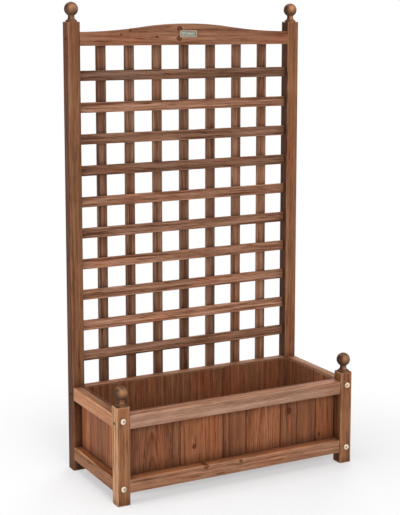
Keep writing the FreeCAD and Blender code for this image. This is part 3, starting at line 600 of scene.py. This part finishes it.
class MetalSettings(bpy.types.PropertyGroup):
    """Colours of the hardware"""

    bolts: colour_property("Bolts", "Plated bolt heads", linear(246, 232, 206))
    inserts: colour_property("Inserts", "Brass of the threaded inserts", linear(212, 178, 112))
    screws: colour_property("Screws", "Screws and brads", linear(188, 184, 176))
    plate: colour_property("Name plate", "Dull metal of the blank plate", linear(126, 127, 114))
    plate_rim: colour_property("Plate rim", "Rubbed rim of the plate", linear(184, 160, 142))
    pins: colour_property("Plate pins", "Browned metal of the ears and pins", linear(128, 92, 70))
    dowels: colour_property("Dowels", "Plain beech of the dowels", linear(206, 172, 132))


class StageSettings(bpy.types.PropertyGroup):
    """Camera, lamps and floor"""

    camera_place: bpy.props.FloatVectorProperty(
        name="Camera place", description="Where the camera stands", subtype="TRANSLATION",
        unit="LENGTH", size=3, default=(-1.5866, -2.9189, 1.2172),
    )
    camera_turn: angle_property("Camera turn", "Turn of the view from +Y towards +X", 28.017)
    camera_dip: angle_property("Camera dip", "Fall of the view below the horizon", 7.834)
    lens: bpy.props.FloatProperty(
        name="Lens", description="Focal length for a 36 mm frame", unit="CAMERA", default=86.911
    )
    rise: bpy.props.FloatProperty(
        name="Lens rise", description="Shift of the lens, of the frame's long side",
        default=-0.125,
    )
    front_light: power_property("Front light", "Power of the soft box in front", 68)
    left_light: power_property("Left light", "Power of the soft box on the left", 60)
    top_light: power_property("Top light", "Power of the soft box overhead", 52)
    fill_light: power_property("Fill light", "Power of the soft box behind on the right", 58)
    air_light: share_property("Air light", "Strength of the light from all round", 0.25)
    floor_colour: colour_property("Floor", "Pale studio floor", linear(249, 250, 252))
    floor_glow: share_property("Floor glow", "How white the floor shows in the shadow", 0.44)
    floor_half: length_property("Floor reach", "Half the width of the floor", 14.0)


# ---------------------------------------------------------------------------------------
# One operator for each group of pieces
# ---------------------------------------------------------------------------------------


class StainPosts(bpy.types.Operator):
    """Stain the four posts, with the grain upright"""

    bl_idname = "planter.stain_posts"
    bl_label = "Posts"
    bl_options = {"REGISTER", "UNDO"}

    def execute(self, context):
        wood = context.scene.planter_wood
        return stain_pieces(wood, {
            # left tints: painted light on the front left post's left face, painted shade on the
            # left faces of the other posts
            "front_left_post": Timber("z", wood.posts, 1.0, 1.02, left=(1.30, 1.60, 1.75)),
            "front_right_post": Timber("z", wood.posts, 1.03, 1.03, left=(0.75, 0.74, 0.66)),
            "rear_left_post": Timber(
                "z", wood.posts, 0.76, 1.02, left=(0.36, 0.28, 0.20), wear=0.3
            ),
            "rear_right_post": Timber(
                "z", wood.posts, 0.96, 1.01, left=(0.26, 0.20, 0.17), wear=0.6
            ),
        })


class StainFinials(bpy.types.Operator):
    """Stain the turned finials, with the grain upright, and paint light and shade on them"""

    bl_idname = "planter.stain_finials"
    bl_label = "Finials"
    bl_options = {"REGISTER", "UNDO"}

    def execute(self, context):
        wood = context.scene.planter_wood
        # low tones under a strong tint of the faces that look up, with a dark tint on the left: a
        # painted highlight in the middle of each finial, painted shade round its sides
        tones = {
            "front_left": 0.306, "front_right": 0.306, "rear_left": 0.357, "rear_right": 0.425
        }
        return stain_pieces(wood, {
            corner + "_finial": Timber(
                "z", wood.finials, tone, figure=0.7, left=(0.45, 0.38, 0.34),
                upper=(4.4, 4.6, 4.5), turned=True,
            )
            for corner, tone in tones.items()
        })


class StainRails(bpy.types.Operator):
    """Stain the rails of the box, with the grain along each"""

    bl_idname = "planter.stain_rails"
    bl_label = "Rails of the box"
    bl_options = {"REGISTER", "UNDO"}

    def execute(self, context):
        wood = context.scene.planter_wood
        knots = {"front": ((-0.100, 0.062, 0.0065), (0.004, 0.060, 0.005)), "rear": ()}
        timbers = {}
        # tints of the faces that look up: painted shade on the top rails, painted light on the
        # bottom rails
        for wall in ("front", "rear"):
            timbers[wall + "_top_rail"] = Timber(
                "x", wood.top_rails, figure=0.8, upper=(1.02, 0.86, 0.72)
            )
            timbers[wall + "_bottom_rail"] = Timber(
                "x", wood.low_rails, 1.04, 1.02, 1.1, knots[wall], upper=(1.55, 1.30, 1.05)
            )
        for wall in ("left", "right"):
            timbers[wall + "_top_rail"] = Timber("y", wood.side_rails, 1.2, figure=0.7)
            timbers[wall + "_bottom_rail"] = Timber(
                "y", wood.side_rails, 0.74, 1.02, upper=(2.2, 1.9, 1.6)
            )
        return stain_pieces(wood, timbers)


class StainArch(bpy.types.Operator):
    """Stain the arched rail, with its small knots"""

    bl_idname = "planter.stain_arch"
    bl_label = "Arched rail"
    bl_options = {"REGISTER", "UNDO"}

    def execute(self, context):
        wood = context.scene.planter_wood
        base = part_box("trellis_arch_rail")[0].z
        knots = (
            (-0.1746, 1.1947, 0.004), (-0.2019, 1.1839, 0.003), (-0.0226, 1.2015, 0.003),
            (-0.0955, base + 0.0226, 0.004), (-0.0262, base + 0.0445, 0.0078),
            (-0.0275, base + 0.0180, 0.0078),
        )
        arch = Timber("x", wood.arch, figure=1.1, knots=knots)
        return stain_pieces(wood, {"trellis_arch_rail": arch})


class StainPlanks(bpy.types.Operator):
    """Stain the planks of the box's walls, no two of one tree"""

    bl_idname = "planter.stain_planks"
    bl_label = "Planks"
    bl_options = {"REGISTER", "UNDO"}

    def execute(self, context):
        wood = context.scene.planter_wood
        low_knot, high_knot, small_knot = (
            (0.1107, -0.1201, 0.0065), (0.1637, 0.1735, 0.0085), (0.0820, 0.2717, 0.0045)
        )
        flame = (0.125, 0.1755, 0.032, 0.006)
        timbers = self.wall("front", 0, (
            Timber("z", wood.planks, 0.92, 0.99, flat=True),
            Timber("z", wood.planks, 1.24, 1.04, 1.1, (low_knot,)),
            Timber("z", wood.planks, 0.98, 1.01),
            Timber("z", wood.planks, 1.36, 1.03, flat=True),
            Timber("z", wood.planks, 0.92, 1.02, 1.0, (high_knot,), (flame,)),
            Timber("z", wood.planks, 1.12, 1.07, 1.0, (small_knot,)),
        ))
        for side in ("left", "right"):
            timbers.update(self.wall(side, 1, (
                Timber("z side", wood.planks, 1.10, 1.02, flat=True),
                Timber("z side", wood.planks, 0.86, 1.02),
                Timber("z side", wood.planks, 1.25, 1.02),
            )))
        timbers["rear_board"] = Timber("z", wood.planks)
        return stain_pieces(wood, timbers)

    def wall(self, name, axis, boards):
        """The boards of a wall by node, each with the joints to its neighbours."""
        timbers = {"%s_plank_%d" % (name, number): board for number, board in enumerate(boards, 1)}
        joints = [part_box(node)[0][axis] for node in timbers]
        for number, board in enumerate(boards):
            board.seams = joints[number:number + 2]
        return timbers


class StainLattice(bpy.types.Operator):
    """Stain the crossing and the upright slats of the trellis"""

    bl_idname = "planter.stain_lattice"
    bl_label = "Lattice"
    bl_options = {"REGISTER", "UNDO"}

    def execute(self, context):
        wood = context.scene.planter_wood
        # from the bottom up, and from left to right
        crossings = (1.44, 1.92, 1.58, 1.58, 1.30, 1.58, 1.00, 1.11, 1.55, 0.84)
        uprights = (1.09, 1.20, 1.29, 0.99, 1.12, 1.52, 1.56)
        timbers = {}
        for number, tone in enumerate(crossings, 1):
            timbers["trellis_crossing_%d" % number] = Timber(
                "x", wood.crossings, tone, 0.93, figure=1.7
            )
        for number, tone in enumerate(uprights, 1):
            timbers["trellis_upright_%d" % number] = Timber(
                "z", wood.uprights, tone, 0.95, figure=1.6
            )
        return stain_pieces(wood, timbers)


class StainFloor(bpy.types.Operator):
    """Stain the floor boards and the cleats that they lie on"""

    bl_idname = "planter.stain_floor"
    bl_label = "Floor of the box"
    bl_options = {"REGISTER", "UNDO"}

    def execute(self, context):
        wood = context.scene.planter_wood
        timbers = {
            "floor_board_%d" % number: Timber(
                "y flat", wood.floor, 0.9 + 0.08 * number, flat=True
            )
            for number in (1, 2, 3)
        }
        for end in ("front", "rear"):
            timbers[end + "_floor_cleat"] = Timber("x", wood.floor)
        return stain_pieces(wood, timbers)


class FinishHardware(bpy.types.Operator):
    """Finish the bolts, inserts, screws, brads, pins and dowels"""

    bl_idname = "planter.finish_hardware"
    bl_label = "Hardware"
    bl_options = {"REGISTER", "UNDO"}

    def execute(self, context):
        metal = context.scene.planter_metal
        # the bolts get painted shade in their sockets and round their rims
        bolts = worn_metal("bolt_plating", metal.bolts, 0.27, 0.22, marks=bolt_shade)
        paint("connector_bolts", bolts)
        paint("threaded_inserts", worn_metal("insert_brass", metal.inserts, 0.34, 0.30))
        screws = worn_metal("screw_plating", metal.screws, 0.36, 0.40)
        for node in ("wood_screws", "brads"):
            paint(node, screws)
        paint("plate_pins", worn_metal("pin_bronze", metal.pins, 0.42, 0.35))
        paint("name_plate", dull_plate(metal))
        dowels = Timber("z", metal.dowels, 0.85, figure=0.4)
        return stain_pieces(context.scene.planter_wood, {"wood_dowels": dowels})


class SetStage(bpy.types.Operator):
    """Set the camera, the soft boxes, the pale floor and the white surroundings"""

    bl_idname = "planter.set_stage"
    bl_label = "Stage"
    bl_options = {"REGISTER", "UNDO"}

    def execute(self, context):
        stage = context.scene.planter_stage
        self.add_camera(context, stage)
        for name, (place, width) in SOFT_BOXES.items():
            self.add_soft_box(context, name, getattr(stage, name), place, width)
        self.light_air(context, stage)
        self.add_floor(context, stage)
        context.scene.view_settings.view_transform = "Standard"
        return {"FINISHED"}

    def add_camera(self, context, stage):
        """The photograph's view, without depth of field."""
        data = bpy.data.cameras.new("camera")
        data.sensor_width = 36.0
        data.lens = stage.lens
        data.shift_y = stage.rise
        data.clip_end = 100.0
        camera = bpy.data.objects.new("camera", data)
        camera.location = stage.camera_place
        upright = math.radians(90)
        camera.rotation_euler = (upright - stage.camera_dip, 0.0, -stage.camera_turn)
        context.collection.objects.link(camera)
        context.scene.camera = camera

    def add_soft_box(self, context, name, power, place, width):
        """A square lamp that faces the planter."""
        data = bpy.data.lights.new(name, "AREA")
        data.energy = power
        data.shape = "SQUARE"
        data.size = width
        lamp = bpy.data.objects.new(name, data)
        lamp.location = place
        lamp.rotation_euler = (AIM - lamp.location).to_track_quat("-Z", "Y").to_euler()
        context.collection.objects.link(lamp)

    def light_air(self, context, stage):
        """White surroundings that light the planter only faintly."""
        tree = Tree(bpy.data.worlds.new("surroundings"), "ShaderNodeOutputWorld")
        sockets = {"Value": tree.shows_white(), "To Min": stage.air_light, "To Max": 1.0}
        strength = tree.node("ShaderNodeMapRange", None, sockets)
        sockets = {"Color": (1.0, 1.0, 1.0), "Strength": strength}
        context.scene.world = tree.close(tree.node("ShaderNodeBackground", None, sockets))

    def add_floor(self, context, stage):
        """A flat floor that reaches well past the camera's view."""
        half = stage.floor_half
        corners = [(-half, -half, 0), (half, -half, 0), (half, half, 0), (-half, half, 0)]
        mesh = bpy.data.meshes.new("studio_floor")
        mesh.from_pydata(corners, [], [(0, 1, 2, 3)])
        floor = bpy.data.objects.new("studio_floor", mesh)
        context.collection.objects.link(floor)
        mesh.materials.append(self.floor_finish(stage))

    def floor_finish(self, stage):
        """Matte near the planter, where it takes the shadow, and white further off."""
        finish = Finish("studio_floor")
        x, y, _ = finish.place()
        distance = (x * x + y * y).root()
        far = distance.rise(*FLOOR_FADE) * (1.0 - stage.floor_glow) + stage.floor_glow
        sockets = {"Color": (1.0, 1.0, 1.0), "Strength": 1.0}
        white = finish.node("ShaderNodeEmission", None, sockets)
        matte = finish.node("ShaderNodeBsdfDiffuse", None, {"Color": stage.floor_colour})
        factor = far * finish.shows_white()
        return finish.close(finish.node("ShaderNodeMixShader", None, [factor, matte, white]))


class PlanterPanel(bpy.types.Panel):
    """The planter's operators and settings"""

    bl_idname = "VIEW3D_PT_planter"
    bl_label = "Planter"
    bl_space_type = "VIEW_3D"
    bl_region_type = "UI"
    bl_category = "Planter"

    def draw(self, context):
        for operator in OPERATORS:
            self.layout.operator(operator.bl_idname)
        for name, settings in SETTINGS.items():
            box = self.layout.box()
            group = getattr(context.scene, name)
            for key in settings.__annotations__:
                box.prop(group, key)


OPERATORS = (
    StainPosts, StainFinials, StainRails, StainArch, StainPlanks, StainLattice, StainFloor,
    FinishHardware, SetStage,
)
SETTINGS = {
    "planter_wood": WoodSettings,
    "planter_metal": MetalSettings,
    "planter_stage": StageSettings,
}


def register():
    for item in (*SETTINGS.values(), *OPERATORS, PlanterPanel):
        bpy.utils.register_class(item)
    for name, settings in SETTINGS.items():
        setattr(bpy.types.Scene, name, bpy.props.PointerProperty(type=settings))


def unregister():
    for name in SETTINGS:
        delattr(bpy.types.Scene, name)
    for item in reversed((*SETTINGS.values(), *OPERATORS, PlanterPanel)):
        bpy.utils.unregister_class(item)


def main():
    register()
    for operator in OPERATORS:
        group, name = operator.bl_idname.split(".")
        getattr(getattr(bpy.ops, group), name)()


if __name__ == "__main__":
    main()
